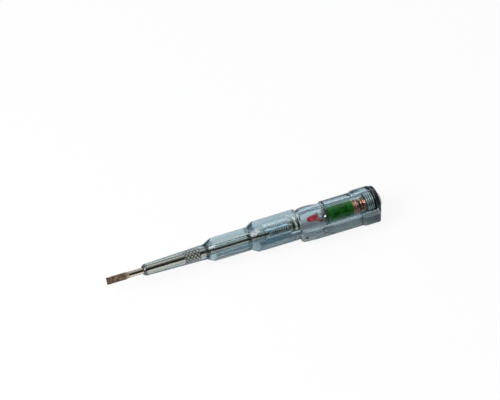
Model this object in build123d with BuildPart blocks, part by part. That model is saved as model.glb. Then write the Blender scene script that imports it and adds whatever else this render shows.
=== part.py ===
from build123d import *
import os
from math import cos, pi, radians, sin, sqrt

os.makedirs("parts", exist_ok=True)

# Voltage tester screwdriver, in millimetres.
# The origin is on the axis, where the shaft leaves the nose of the handle.
# +X runs along the axis to the cap at the tail, and the blade points to -X.
# Flats of the six-sided grips face up and down, and the clip is on the -Y side.

# Blade and shaft, one steel rod
shaft_diameter = 3.0
shaft_bare_length = 18.4
blade_width = 3.3
blade_tip_thickness = 0.6
blade_root_thickness = 0.95
blade_flat_length = 8.3
blade_ramp_length = 2.6
blade_corner_radius = 0.15
blade_turn = 30
knurl_diameter = 3.2
knurl_length = 7.8
knurl_inset = 20.8
shaft_head_diameter = 4.2
shaft_head_length = 2.2
press_overlap = 0.02
press_lead_length = 0.8

# Handle, one clear moulding, region by region from nose to tail
nose_face_diameter = 4.3
nose_diameter = 5.7
nose_length = 2.1
nose_swell_inset_share = 0.35
nose_swell_share = 0.67
sleeve_length = 30.2
sleeve_rear_diameter = 7.4
sleeve_step = 0.3
fore_cone_length = 3.6
fore_grip_across_flats = 9.9
fore_grip_length = 17.7
main_cone_start_diameter = 10.5
main_cone_length = 4.1
main_grip_across_flats = 13.1
main_grip_length = 20.1
grip_corner_radius = 0.45
neck_chamfer_length = 1.2
neck_diameter = 12.6
window_length = 12.7
window_diameter = 14.3
window_rear_diameter = 12.9
window_swell_inset_share = 0.3
window_fall_inset_share = 0.68
window_fall_share = 0.3
window_lip_gap = 0.3
collar_diameter = 14.4
collar_length = 14.4
collar_edge_chamfer = 0.25
flare_length = 2.5
tail_diameter = 15.7
tail_length = 7.6

# Pocket clip, sprung at its root block
clip_width = 5.0
clip_thickness = 2.3
clip_gap = 1.8
clip_length = 31.6
clip_edge_radius = 0.45
clip_tip_thickness = 1.7
clip_tip_taper_length = 9.0
clip_bump_height = 1.25
clip_bump_length = 6.4
clip_bump_width = 3.0
clip_bump_inset = 11.0
clip_bump_peak_share = 0.45
clip_dimple_diameter = 0.9
clip_dimple_depth = 0.5
clip_dimple_inset = 3.0
clip_block_rise = 0.6
clip_block_slope_length = 1.6
clip_block_rear_chamfer = 0.8

# Springs
front_spring_length = 10.5
front_spring_diameter = 4.2
front_spring_wire = 0.5
front_spring_turns = 8
tail_spring_diameter = 7.0
tail_spring_wire = 0.65
tail_spring_turns = 3.5
spring_wire_sides = 10
spring_bend_turn_share = 0.12
spring_bend_rise_share = 1.4

# Lamp module, which slides in the bore between the two springs
washer_diameter = 5.8
washer_thickness = 1.0
washer_hole_diameter = 1.2
cup_inset = 0.7
cup_length = 3.4
cup_front_diameter = 7.4
cup_waist_diameter = 6.4
cup_front_length = 1.1
cup_waist_length = 0.9
cup_hollow_diameter = 5.8
cup_hollow_depth = 2.8
board_inset = 0.1
lamp_tube_wall = 0.4
lamp_diameter = 3.0
lamp_length = 4.8
lamp_flange_diameter = 3.8
lamp_flange_thickness = 1.0
lamp_setback = 3.4
lamp_rise = 0.7
lamp_tilt = 3
lead_pitch = 2.54
lead_diameter = 0.5
lead_straight_length = 1.2
lead_bend_radius = 0.8
board_thickness = 0.8
solder_diameter = 1.5
solder_height = 0.9
resistor_diameter = 1.7
resistor_length = 2.8
resistor_waist_diameter = 1.4
resistor_band_length = 0.7
resistor_standoff = 0.4
resistor_side = -1.0
resistor_drop = 1.3
resistor_lead_diameter = 0.4
resistor_lead_drop = 1.0
resistor_lead_bend_share = 0.4
chip_length = 2.9
chip_width = 1.3
chip_height = 1.0
chip_side = 0.2
chip_rise = 2.65
capacitor_length = 1.6
capacitor_width = 0.8
capacitor_side = 2.2
capacitor_drop = 1.4
terminal_diameter = 3.2
terminal_thickness = 0.4
terminal_edge_chamfer = 0.18

# Button cells and the shrink sleeve that holds them in a stack
cell_diameter = 7.7
cell_thickness = 4.1
cell_button_diameter = 6.2
cell_button_height = 0.4
cell_edge_chamfer = 0.25
cell_count = 3
wrap_thickness = 0.15
wrap_lip = 0.4

# Screwed end cap with its touch plate
thread_depth = 0.4
plug_seat_depth = 0.5
plug_length = 4.4
stem_diameter = 3.2
cap_diameter = 14.8
cap_rim_length = 1.4
cap_corner_length = 0.7
cap_corner_depth = 0.5
cap_dome_length = 1.8
cap_face_diameter = 6.6
touch_plate_diameter = 6.0
touch_plate_thickness = 1.2
touch_plate_crown = 0.6

# Fits
running_clearance = 0.05
bore_clearance = 0.15
loose_clearance = 0.5
step_clearance = 0.5

# Stations along the axis, worked out from the lengths above
sleeve_end = nose_length + sleeve_length
fore_start = sleeve_end + fore_cone_length
fore_end = fore_start + fore_grip_length
main_start = fore_end + main_cone_length
main_end = main_start + main_grip_length
neck = main_end + neck_chamfer_length
window_end = neck + window_length
collar_start = window_end + window_lip_gap
collar_end = collar_start + collar_length
flare_end = collar_end + flare_length
handle_end = flare_end + tail_length

cup_end = neck - cup_inset
cup_start = cup_end - cup_length
washer_start = cup_start - washer_thickness
front_spring_start = washer_start - front_spring_length
bore_start = front_spring_start - shaft_head_length
board_start = collar_start + board_inset
terminal_start = board_start + board_thickness
cells_start = terminal_start + terminal_thickness
cells_end = cells_start + cell_count * cell_thickness
plug_start = handle_end - plug_length
tail_spring_end = plug_start + plug_seat_depth

# Diameters that follow from what goes inside
wrap_diameter = cell_diameter + 2 * wrap_thickness + 2 * running_clearance
module_bore_diameter = wrap_diameter + 2 * bore_clearance
module_diameter = module_bore_diameter - 2 * bore_clearance
spring_bore_diameter = front_spring_diameter + 2 * loose_clearance
thread_diameter = module_bore_diameter + 2 * thread_depth
thread_bore_diameter = thread_diameter + 2 * running_clearance
module_bore_start = washer_start - step_clearance

# One overrun for every cut that has to pass a face
overrun = 1.0


# The handle: nose sleeve, two six-sided grips, barrel window, collar and tail
fore_grip_corner = fore_grip_across_flats / sqrt(3)
main_grip_corner = main_grip_across_flats / sqrt(3)
window_swell_radius = window_diameter / 2
window_fall_radius = window_swell_radius - window_fall_share * (window_diameter - window_rear_diameter) / 2
clip_inner_face = collar_diameter / 2 + clip_gap
clip_outer_face = clip_inner_face + clip_thickness
clip_root = collar_end + clip_block_slope_length - clip_edge_radius
block_outer_face = clip_outer_face + clip_block_rise
block_inner_face = (thread_bore_diameter / 2 + tail_diameter / 2) / 2
nose_swell_radius = (nose_face_diameter + nose_swell_share * (nose_diameter - nose_face_diameter)) / 2

with BuildPart() as handle_body:
    # Nose and sleeve are turned forms
    with BuildSketch(Plane.XZ):
        with BuildLine():
            Line((0, 0), (0, nose_face_diameter / 2))
            nose_curve = ThreePointArc(
                (0, nose_face_diameter / 2),
                (nose_length * nose_swell_inset_share, nose_swell_radius),
                (nose_length, nose_diameter / 2),
            )
            Polyline(
                nose_curve @ 1,
                (sleeve_end, sleeve_rear_diameter / 2),
                (sleeve_end, 0),
                (0, 0),
            )
        make_face()
    revolve(axis=Axis.X)

    # Fore grip: a six-sided bar whose front corners are turned down to a cone
    with BuildSketch(Plane.YZ.offset(sleeve_end)) as fore_section:
        RegularPolygon(fore_grip_corner, 6)
        fillet(fore_section.vertices(), grip_corner_radius)
    extrude(amount=fore_end - sleeve_end)
    with BuildSketch(Plane.XZ):
        with BuildLine():
            Polyline(
                (sleeve_end, sleeve_rear_diameter / 2 + sleeve_step),
                (fore_start, fore_grip_corner),
                (fore_start, fore_grip_corner + overrun),
                (sleeve_end - overrun, fore_grip_corner + overrun),
                (sleeve_end - overrun, sleeve_rear_diameter / 2 + sleeve_step),
                close=True,
            )
        make_face()
    revolve(axis=Axis.X, mode=Mode.SUBTRACT)

    # Main grip: the same form, larger, with a second cone and a rear chamfer
    with BuildSketch(Plane.YZ.offset(fore_end)) as main_section:
        RegularPolygon(main_grip_corner, 6)
        fillet(main_section.vertices(), grip_corner_radius)
    extrude(amount=neck - fore_end)
    with BuildSketch(Plane.XZ):
        with BuildLine():
            Polyline(
                (fore_end, main_cone_start_diameter / 2),
                (main_start, main_grip_corner),
                (main_start, main_grip_corner + overrun),
                (fore_end, main_grip_corner + overrun),
                close=True,
            )
        make_face()
        with BuildLine():
            Polyline(
                (main_end, main_grip_corner),
                (neck, neck_diameter / 2),
                (neck + overrun, neck_diameter / 2),
                (neck + overrun, main_grip_corner + overrun),
                (main_end, main_grip_corner + overrun),
                close=True,
            )
        make_face()
    revolve(axis=Axis.X, mode=Mode.SUBTRACT)

    # Barrel window, collar, flare and tail
    with BuildSketch(Plane.XZ):
        with BuildLine():
            Line((neck, 0), (neck, neck_diameter / 2))
            window_curve = Spline(
                (neck, neck_diameter / 2),
                (neck + window_swell_inset_share * window_length, window_swell_radius),
                (neck + window_fall_inset_share * window_length, window_fall_radius),
                (window_end, window_rear_diameter / 2),
            )
            Polyline(
                window_curve @ 1,
                (collar_start, window_rear_diameter / 2),
                (collar_start, collar_diameter / 2 - collar_edge_chamfer),
                (collar_start + collar_edge_chamfer, collar_diameter / 2),
                (collar_end, collar_diameter / 2),
            )
            flare_curve = Spline(
                (collar_end, collar_diameter / 2),
                (flare_end, tail_diameter / 2),
                tangents=[(1, 0), (1, 0)],
            )
            Polyline(
                flare_curve @ 1,
                (handle_end - collar_edge_chamfer, tail_diameter / 2),
                (handle_end, tail_diameter / 2 - collar_edge_chamfer),
                (handle_end, 0),
                (neck, 0),
            )
        make_face()
    revolve(axis=Axis.X)

    # Root block of the clip, moulded on the tail
    with BuildSketch(Plane.XY):
        with BuildLine():
            Polyline(
                (clip_root, -clip_inner_face),
                (clip_root, -clip_outer_face),
                (flare_end, -block_outer_face),
                (handle_end - clip_block_rear_chamfer, -block_outer_face),
                (handle_end, -clip_outer_face),
                (handle_end, -block_inner_face),
                (clip_root, -block_inner_face),
                close=True,
            )
        make_face()
    extrude(amount=clip_width / 2, both=True)

    # Bore in three steps: front spring, lamp module and thread
    with BuildSketch(Plane.XZ):
        with BuildLine():
            Polyline(
                (bore_start, 0),
                (bore_start, spring_bore_diameter / 2),
                (module_bore_start, spring_bore_diameter / 2),
                (module_bore_start, module_bore_diameter / 2),
                (plug_start - thread_depth, module_bore_diameter / 2),
                (plug_start - running_clearance, thread_bore_diameter / 2),
                (handle_end + overrun, thread_bore_diameter / 2),
                (handle_end + overrun, 0),
                close=True,
            )
        make_face()
    revolve(axis=Axis.X, mode=Mode.SUBTRACT)

    # Socket that grips the rod and its knurled band
    with BuildSketch(Plane.XZ):
        with BuildLine():
            Polyline(
                (-overrun, 0),
                (-overrun, shaft_diameter / 2),
                (knurl_inset, shaft_diameter / 2),
                (knurl_inset, knurl_diameter / 2),
                (knurl_inset + knurl_length, knurl_diameter / 2),
                (knurl_inset + knurl_length, shaft_diameter / 2),
                (bore_start + overrun, shaft_diameter / 2),
                (bore_start + overrun, 0),
                close=True,
            )
        make_face()
    revolve(axis=Axis.X, mode=Mode.SUBTRACT)

handle_body.part.label = "handle_body"
export_step(handle_body.part, "parts/handle_body.step")


# The blade: the end of the rod forged flat, then drawn up to the round in a ramp
blade_tip = -shaft_bare_length
blade_flat_end = blade_tip + blade_flat_length
blade_ramp_end = blade_flat_end + blade_ramp_length
blade_angle = radians(blade_turn)
blade_side = Plane(origin=(0, 0, 0), x_dir=(1, 0, 0), z_dir=(0, -sin(blade_angle), -cos(blade_angle)))
blade_face = Plane(origin=(0, 0, 0), x_dir=(1, 0, 0), z_dir=(0, -cos(blade_angle), sin(blade_angle)))

with BuildPart() as blade_shaft:
    # Thickness of the blade, seen from its edge
    with BuildSketch(blade_side):
        with BuildLine():
            Line((blade_tip, -blade_tip_thickness / 2), (blade_tip, blade_tip_thickness / 2))
            Line((blade_tip, blade_tip_thickness / 2), (blade_flat_end, blade_root_thickness / 2))
            upper_ramp = TangentArc(
                (blade_flat_end, blade_root_thickness / 2),
                (blade_ramp_end, shaft_diameter / 2),
                tangent=(1, 0),
            )
            Line((blade_ramp_end, shaft_diameter / 2), (blade_ramp_end, -shaft_diameter / 2))
            mirror(upper_ramp, about=Plane.XZ)
            Line((blade_flat_end, -blade_root_thickness / 2), (blade_tip, -blade_tip_thickness / 2))
        make_face()
    extrude(amount=blade_width / 2, both=True)

    # Width of the blade, seen from its face
    with BuildSketch(blade_face) as blade_plan:
        with BuildLine():
            Polyline(
                (blade_tip, -blade_width / 2),
                (blade_tip, blade_width / 2),
                (blade_flat_end, blade_width / 2),
                (blade_ramp_end, shaft_diameter / 2),
                (blade_ramp_end, -shaft_diameter / 2),
                (blade_flat_end, -blade_width / 2),
                close=True,
            )
        make_face()
        fillet(blade_plan.vertices().group_by(Axis.X)[0], blade_corner_radius)
    extrude(amount=shaft_diameter, both=True, mode=Mode.INTERSECT)

    # The ramp's corners are drawn in to the round of the rod
    with BuildSketch(Plane.XZ):
        with BuildLine():
            Polyline(
                (blade_flat_end, blade_width / 2 + blade_corner_radius),
                (blade_ramp_end, shaft_diameter / 2),
                (blade_ramp_end, shaft_diameter + overrun),
                (blade_flat_end, shaft_diameter + overrun),
                close=True,
            )
        make_face()
    revolve(axis=Axis.X, mode=Mode.SUBTRACT)

    # The rod with its knurled band and upset head, a press fit that grows from the nose inwards
    with BuildSketch(Plane.XZ):
        with BuildLine():
            Polyline(
                (blade_ramp_end, 0),
                (blade_ramp_end, shaft_diameter / 2),
                (0, shaft_diameter / 2),
                (press_lead_length, shaft_diameter / 2 + press_overlap),
                (knurl_inset, shaft_diameter / 2 + press_overlap),
                (knurl_inset, knurl_diameter / 2 + press_overlap),
                (knurl_inset + knurl_length, knurl_diameter / 2 + press_overlap),
                (knurl_inset + knurl_length, shaft_diameter / 2 + press_overlap),
                (bore_start, shaft_diameter / 2 + press_overlap),
                (bore_start, shaft_head_diameter / 2),
                (front_spring_start, shaft_head_diameter / 2),
                (front_spring_start, 0),
                close=True,
            )
        make_face()
    revolve(axis=Axis.X)

blade_shaft.part.label = "blade_shaft"
export_step(blade_shaft.part, "parts/blade_shaft.step")


# The pocket clip: a flat arm with a round tip, a grip bump inside and a dimple outside
clip_tip = clip_root - clip_length
clip_tip_arc = clip_tip + clip_width / 2
bump_start = clip_tip + clip_bump_inset
bump_end = bump_start + clip_bump_length
bump_peak = bump_start + clip_bump_length * clip_bump_peak_share

with BuildPart() as pocket_clip:
    # Outline of the arm, seen from the side that faces out
    with BuildSketch(Plane.XZ.offset(clip_inner_face)):
        with BuildLine():
            Line((clip_root, -clip_width / 2), (clip_root, clip_width / 2))
            Line((clip_root, clip_width / 2), (clip_tip_arc, clip_width / 2))
            ThreePointArc((clip_tip_arc, clip_width / 2), (clip_tip, 0), (clip_tip_arc, -clip_width / 2))
            Line((clip_tip_arc, -clip_width / 2), (clip_root, -clip_width / 2))
        make_face()
    extrude(amount=clip_thickness)

    # The outer face falls away a little towards the tip
    with BuildSketch(Plane.XY):
        with BuildLine():
            Polyline(
                (clip_tip - overrun, -clip_inner_face - clip_tip_thickness),
                (clip_tip, -clip_inner_face - clip_tip_thickness),
                (clip_tip + clip_tip_taper_length, -clip_outer_face),
                (clip_tip + clip_tip_taper_length, -clip_outer_face - overrun),
                (clip_tip - overrun, -clip_outer_face - overrun),
                close=True,
            )
        make_face()
    extrude(amount=clip_width, both=True, mode=Mode.SUBTRACT)
    outer_rim = pocket_clip.faces().filter_by(Axis.Y).sort_by(Axis.Y)[0].edges()
    long_edges = outer_rim.filter_by(Axis.X)
    fillet(long_edges, clip_edge_radius)

    # Grip bump on the inner face
    with BuildSketch(Plane.XY):
        with BuildLine():
            Polyline(
                (bump_start, -clip_inner_face - clip_tip_thickness / 2),
                (bump_start, -clip_inner_face),
                (bump_peak, -clip_inner_face + clip_bump_height),
                (bump_end, -clip_inner_face),
                (bump_end, -clip_inner_face - clip_tip_thickness / 2),
                close=True,
            )
        make_face()
    extrude(amount=clip_bump_width / 2, both=True)

    # Dimple near the tip
    with BuildSketch(Plane.XZ.offset(clip_outer_face - clip_dimple_depth)):
        with Locations((clip_tip + clip_dimple_inset, 0)):
            Circle(clip_dimple_diameter / 2)
    extrude(amount=clip_dimple_depth + overrun, mode=Mode.SUBTRACT)

pocket_clip.part.label = "pocket_clip"
export_step(pocket_clip.part, "parts/pocket_clip.step")


# Springs: round wire wound on a helix, each turn drawn as arcs that meet tangentially
gap_point_count = 500
gap_skipped_wires = 3


def arc_pair(start, start_direction, end, end_direction):
    """Two arcs in a row from start to end, tangent to each other and to both directions."""
    chord = end - start
    spread = 2 * (1 - start_direction.dot(end_direction))
    along = chord.dot(start_direction + end_direction)
    reach = (sqrt(along**2 + spread * chord.dot(chord)) - along) / spread
    first_corner = start + start_direction * reach
    second_corner = end - end_direction * reach
    middle = (first_corner + second_corner) / 2
    TangentArc(start, middle, tangent=start_direction)
    TangentArc(middle, end, tangent=(second_corner - first_corner).normalized())


def spring_path(front, rear, mean_radius, wire, turn_count):
    """A helix about the X axis whose ends turn to the axis and run straight to their seats."""
    bend_rise = spring_bend_rise_share * wire
    helix_start = front + wire + bend_rise
    helix_length = rear - front - 2 * (wire + bend_rise)
    rise_per_turn = helix_length / turn_count
    bend_angle = 2 * pi * spring_bend_turn_share

    def helix_point(turn):
        angle = 2 * pi * turn + bend_angle
        return Vector(helix_start + rise_per_turn * turn, mean_radius * cos(angle), mean_radius * sin(angle))

    def helix_direction(turn):
        angle = 2 * pi * turn + bend_angle
        rate = mean_radius * 2 * pi
        return Vector(rise_per_turn, -rate * sin(angle), rate * cos(angle)).normalized()

    axis_direction = Vector(1, 0, 0)
    last_angle = 2 * pi * turn_count + 2 * bend_angle
    front_seat = Vector(front, mean_radius, 0)
    rear_seat = Vector(rear, mean_radius * cos(last_angle), mean_radius * sin(last_angle))
    straight = axis_direction * wire
    Line(front_seat, front_seat + straight)
    arc_pair(front_seat + straight, axis_direction, helix_point(0), helix_direction(0))
    half_turns = round(2 * turn_count)
    for half in range(half_turns):
        turn = turn_count * half / half_turns
        next_turn = turn_count * (half + 1) / half_turns
        arc_pair(helix_point(turn), helix_direction(turn), helix_point(next_turn), helix_direction(next_turn))
    arc_pair(helix_point(turn_count), helix_direction(turn_count), rear_seat - straight, axis_direction)
    Line(rear_seat - straight, rear_seat)


def print_least_gap(name, path, wire):
    """Least gap of a spring's wire to itself, measured between points along its line."""
    points = [path @ (step / gap_point_count) for step in range(gap_point_count + 1)]
    apart = round(gap_point_count * gap_skipped_wires * wire / path.length)
    gap = min(
        (points[first] - points[second]).length
        for first in range(gap_point_count)
        for second in range(first + apart, gap_point_count + 1)
    )
    print(name, "least gap to itself", round(gap - wire, 3), "mm")


with BuildPart() as front_spring:
    with BuildLine() as front_wire_line:
        spring_path(
            front_spring_start,
            washer_start,
            (front_spring_diameter - front_spring_wire) / 2,
            front_spring_wire,
            front_spring_turns,
        )
    front_wire = front_wire_line.wire()
    with BuildSketch(Plane(origin=front_wire @ 0, z_dir=front_wire % 0)):
        RegularPolygon(front_spring_wire / 2, spring_wire_sides)
    sweep(path=front_wire)

front_spring.part.label = "front_spring"
export_step(front_spring.part, "parts/front_spring.step")
print_least_gap("front_spring", front_wire, front_spring_wire)

with BuildPart() as tail_spring:
    with BuildLine() as tail_wire_line:
        spring_path(
            cells_end,
            tail_spring_end,
            (tail_spring_diameter - tail_spring_wire) / 2,
            tail_spring_wire,
            tail_spring_turns,
        )
    tail_wire = tail_wire_line.wire()
    with BuildSketch(Plane(origin=tail_wire @ 0, z_dir=tail_wire % 0)):
        RegularPolygon(tail_spring_wire / 2, spring_wire_sides)
    sweep(path=tail_wire)

tail_spring.part.label = "tail_spring"
export_step(tail_spring.part, "parts/tail_spring.step")
print_least_gap("tail_spring", tail_wire, tail_spring_wire)


# Washer that the front spring bears on
with BuildPart() as contact_washer:
    with BuildSketch(Plane.YZ.offset(washer_start)):
        Circle(washer_diameter / 2)
        Circle(washer_hole_diameter / 2, mode=Mode.SUBTRACT)
    extrude(amount=washer_thickness)

contact_washer.part.label = "contact_washer"
export_step(contact_washer.part, "parts/contact_washer.step")


# Contact cup: a turned cup with a waist, open to the lamp
cup_waist_start = cup_start + cup_front_length
cup_waist_end = cup_waist_start + cup_waist_length

with BuildPart() as contact_cup:
    with BuildSketch(Plane.XZ):
        with BuildLine():
            Polyline(
                (cup_start, 0),
                (cup_start, cup_front_diameter / 2),
                (cup_waist_start, cup_front_diameter / 2),
                (cup_waist_start, cup_waist_diameter / 2),
                (cup_waist_end, cup_waist_diameter / 2),
                (cup_waist_end, module_diameter / 2),
                (cup_end, module_diameter / 2),
                (cup_end, cup_hollow_diameter / 2),
                (cup_end - cup_hollow_depth, cup_hollow_diameter / 2),
                (cup_end - cup_hollow_depth, 0),
                close=True,
            )
        make_face()
    revolve(axis=Axis.X)

contact_cup.part.label = "contact_cup"
export_step(contact_cup.part, "parts/contact_cup.step")


# Clear tube round the lamp, which keeps the cup and the board apart
with BuildPart() as lamp_tube:
    with BuildSketch(Plane.YZ.offset(cup_end)):
        Circle(module_diameter / 2)
        Circle(module_diameter / 2 - lamp_tube_wall, mode=Mode.SUBTRACT)
    extrude(amount=board_start - cup_end)

lamp_tube.part.label = "lamp_tube"
export_step(lamp_tube.part, "parts/lamp_tube.step")


# Lamp: a round red light-emitting diode, dome to the front, a little tilted on its leads
lamp_base = board_start - lamp_setback
lamp_direction = Vector(cos(radians(lamp_tilt)), 0, sin(radians(lamp_tilt)))
lamp_plane = Plane(origin=(lamp_base, 0, lamp_rise), x_dir=lamp_direction, z_dir=(0, -1, 0))

with BuildPart() as led_lamp:
    with BuildSketch(lamp_plane):
        with BuildLine():
            dome = CenterArc(
                (lamp_diameter / 2 - lamp_length, 0),
                lamp_diameter / 2,
                start_angle=90,
                arc_size=90,
            )
            Polyline(
                dome @ 0,
                (-lamp_flange_thickness, lamp_diameter / 2),
                (-lamp_flange_thickness, lamp_flange_diameter / 2),
                (0, lamp_flange_diameter / 2),
                (0, 0),
                dome @ 1,
            )
        make_face()
    revolve(axis=Axis(origin=(lamp_base, 0, lamp_rise), direction=lamp_direction))

led_lamp.part.label = "led_lamp"
export_step(led_lamp.part, "parts/led_lamp.step")


# Two leads of the lamp, which run back through the board
lead_bend = Vector(lamp_base, 0, lamp_rise) + lamp_direction * lead_straight_length
lead_spread = Vector(0, lead_pitch / 2, 0)
lead_end = Vector(terminal_start, 0, lead_bend.Z)

with BuildPart() as led_leads:
    for side in (-1, 1):
        with BuildLine() as lead_line:
            FilletPolyline(
                Vector(lamp_base, 0, lamp_rise) + lead_spread * side,
                lead_bend + lead_spread * side,
                lead_end + lead_spread * side,
                radius=lead_bend_radius,
            )
        lead_wire = lead_line.wire()
        with BuildSketch(Plane(origin=lead_wire @ 0, z_dir=lead_wire % 0)):
            Circle(lead_diameter / 2)
        sweep(path=lead_wire)

led_leads.part.label = "led_leads"
export_step(led_leads.part, "parts/led_leads.step")


# Places on the round board, as (y, z)
lead_places = [(-lead_pitch / 2, lead_bend.Z), (lead_pitch / 2, lead_bend.Z)]
resistor_place = (resistor_side, -resistor_drop)
resistor_front_place = (resistor_side, -resistor_drop - resistor_lead_drop)

with BuildPart() as circuit_board:
    with BuildSketch(Plane.YZ.offset(board_start)):
        Circle(module_diameter / 2)
        with Locations(*lead_places):
            Circle(lead_diameter / 2 + running_clearance, mode=Mode.SUBTRACT)
        with Locations(resistor_place):
            Circle(resistor_lead_diameter / 2 + running_clearance, mode=Mode.SUBTRACT)
    extrude(amount=board_thickness)

circuit_board.part.label = "circuit_board"
export_step(circuit_board.part, "parts/circuit_board.step")


# Solder on the front of the board, one cone round each lead
with BuildPart() as solder_joints:
    for place in lead_places:
        solder_plane = Plane(origin=(board_start, *place), x_dir=(-1, 0, 0), z_dir=(0, -1, 0))
        with BuildSketch(solder_plane):
            with BuildLine():
                Line((0, lead_diameter / 2), (0, solder_diameter / 2))
                Line((0, solder_diameter / 2), (solder_height, lead_diameter / 2))
                Line((solder_height, lead_diameter / 2), (0, lead_diameter / 2))
            make_face()
        revolve(axis=Axis(origin=(board_start, *place), direction=(1, 0, 0)))

solder_joints.part.label = "solder_joints"
export_step(solder_joints.part, "parts/solder_joints.step")


# Resistor in line with the front lead
resistor_end = board_start - resistor_standoff
resistor_start = resistor_end - resistor_length
resistor_axis = Axis(origin=(resistor_start, *resistor_place), direction=(1, 0, 0))
resistor_plane = Plane(origin=(resistor_start, *resistor_place), x_dir=(1, 0, 0), z_dir=(0, -1, 0))

with BuildPart() as series_resistor:
    with BuildSketch(resistor_plane):
        with BuildLine():
            Polyline(
                (0, 0),
                (0, resistor_diameter / 2),
                (resistor_band_length, resistor_diameter / 2),
                (resistor_band_length, resistor_waist_diameter / 2),
                (resistor_length - resistor_band_length, resistor_waist_diameter / 2),
                (resistor_length - resistor_band_length, resistor_diameter / 2),
                (resistor_length, resistor_diameter / 2),
                (resistor_length, 0),
                close=True,
            )
        make_face()
    revolve(axis=resistor_axis)

series_resistor.part.label = "series_resistor"
export_step(series_resistor.part, "parts/series_resistor.step")


# The resistor's two leads: one into the board, one forward to the contact cup
front_lead_run = resistor_start - resistor_lead_drop
front_lead_bend_radius = resistor_lead_drop * resistor_lead_bend_share

with BuildPart() as resistor_leads:
    with BuildSketch(Plane.YZ.offset(resistor_end)):
        with Locations(resistor_place):
            Circle(resistor_lead_diameter / 2)
    extrude(amount=terminal_start - resistor_end)
    with BuildLine() as front_lead_line:
        FilletPolyline(
            (resistor_start, *resistor_place),
            (front_lead_run + resistor_lead_drop / 2, *resistor_place),
            (front_lead_run - resistor_lead_drop / 2, *resistor_front_place),
            (cup_end - cup_hollow_depth, *resistor_front_place),
            radius=front_lead_bend_radius,
        )
    front_lead = front_lead_line.wire()
    with BuildSketch(Plane(origin=front_lead @ 0, z_dir=front_lead % 0)):
        Circle(resistor_lead_diameter / 2)
    sweep(path=front_lead)

resistor_leads.part.label = "resistor_leads"
export_step(resistor_leads.part, "parts/resistor_leads.step")


# Transistor chip and capacitor, flat on the front of the board
with BuildPart() as driver_chip:
    with BuildSketch(Plane.YZ.offset(board_start - chip_height)):
        with Locations((chip_side, chip_rise)):
            Rectangle(chip_length, chip_width)
    extrude(amount=chip_height)

driver_chip.part.label = "driver_chip"
export_step(driver_chip.part, "parts/driver_chip.step")

with BuildPart() as chip_capacitor:
    with BuildSketch(Plane.YZ.offset(board_start - capacitor_width)):
        with Locations((capacitor_side, -capacitor_drop)):
            Rectangle(capacitor_width, capacitor_length)
    extrude(amount=capacitor_width)

chip_capacitor.part.label = "chip_capacitor"
export_step(chip_capacitor.part, "parts/chip_capacitor.step")


# Terminal on the back of the board, which the first cell presses on
with BuildPart() as board_terminal:
    with BuildSketch(Plane.YZ.offset(terminal_start)):
        Circle(terminal_diameter / 2)
    extrude(amount=terminal_thickness)
    chamfer(board_terminal.edges().group_by(Axis.X)[-1], terminal_edge_chamfer)

board_terminal.part.label = "board_terminal"
export_step(board_terminal.part, "parts/board_terminal.step")


# Button cells in a stack, each a can with a smaller button towards the board
cell_names = ["cell_front", "cell_middle", "cell_rear"]
for index, cell_name in enumerate(cell_names[:cell_count]):
    button_face = cells_start + index * cell_thickness
    can_face = button_face + cell_button_height
    cell_back = button_face + cell_thickness
    with BuildPart() as cell:
        with BuildSketch(Plane.YZ.offset(button_face)):
            Circle(cell_button_diameter / 2)
        extrude(amount=cell_button_height)
        with BuildSketch(Plane.YZ.offset(can_face)):
            Circle(cell_diameter / 2)
        extrude(amount=cell_back - can_face)
        rims = cell.edges().filter_by(GeomType.CIRCLE).sort_by(SortBy.RADIUS)[-2:]
        chamfer(rims, cell_edge_chamfer)
    cell.part.label = cell_name
    export_step(cell.part, f"parts/{cell_name}.step")


# Printed shrink sleeve with its ends turned in over the stack
wrap_start = cells_start + cell_button_height - wrap_thickness
wrap_end = cells_end + wrap_thickness

with BuildPart() as cell_wrap:
    with BuildSketch(Plane.XZ):
        with BuildLine():
            Polyline(
                (wrap_start, wrap_diameter / 2 - wrap_lip),
                (wrap_start, wrap_diameter / 2),
                (wrap_end, wrap_diameter / 2),
                (wrap_end, wrap_diameter / 2 - wrap_lip),
                (wrap_end - wrap_thickness, wrap_diameter / 2 - wrap_lip),
                (wrap_end - wrap_thickness, wrap_diameter / 2 - wrap_thickness),
                (wrap_start + wrap_thickness, wrap_diameter / 2 - wrap_thickness),
                (wrap_start + wrap_thickness, wrap_diameter / 2 - wrap_lip),
                close=True,
            )
        make_face()
    revolve(axis=Axis.X)

cell_wrap.part.label = "cell_wrap"
export_step(cell_wrap.part, "parts/cell_wrap.step")


# Threaded plug: a turned nickel plug with a seat for the spring and a stem through the cap
stem_end = handle_end + cap_rim_length + cap_corner_length + cap_dome_length - touch_plate_thickness / 2
seat_diameter = tail_spring_diameter + 2 * bore_clearance

with BuildPart() as threaded_plug:
    with BuildSketch(Plane.XZ):
        with BuildLine():
            Polyline(
                (tail_spring_end, 0),
                (tail_spring_end, seat_diameter / 2),
                (plug_start, seat_diameter / 2),
                (plug_start, thread_diameter / 2 - thread_depth),
                (plug_start + thread_depth, thread_diameter / 2),
                (handle_end, thread_diameter / 2),
                (handle_end, stem_diameter / 2),
                (stem_end, stem_diameter / 2),
                (stem_end, 0),
                close=True,
            )
        make_face()
    revolve(axis=Axis.X)

threaded_plug.part.label = "threaded_plug"
export_step(threaded_plug.part, "parts/threaded_plug.step")


# End cap: black, domed, with a seat for the touch plate in its middle
cap_rim_end = handle_end + cap_rim_length
cap_corner_end = cap_rim_end + cap_corner_length
cap_face = cap_corner_end + cap_dome_length
cap_corner_radius = cap_diameter / 2 - cap_corner_depth
plate_recess = touch_plate_diameter / 2 + running_clearance

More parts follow.
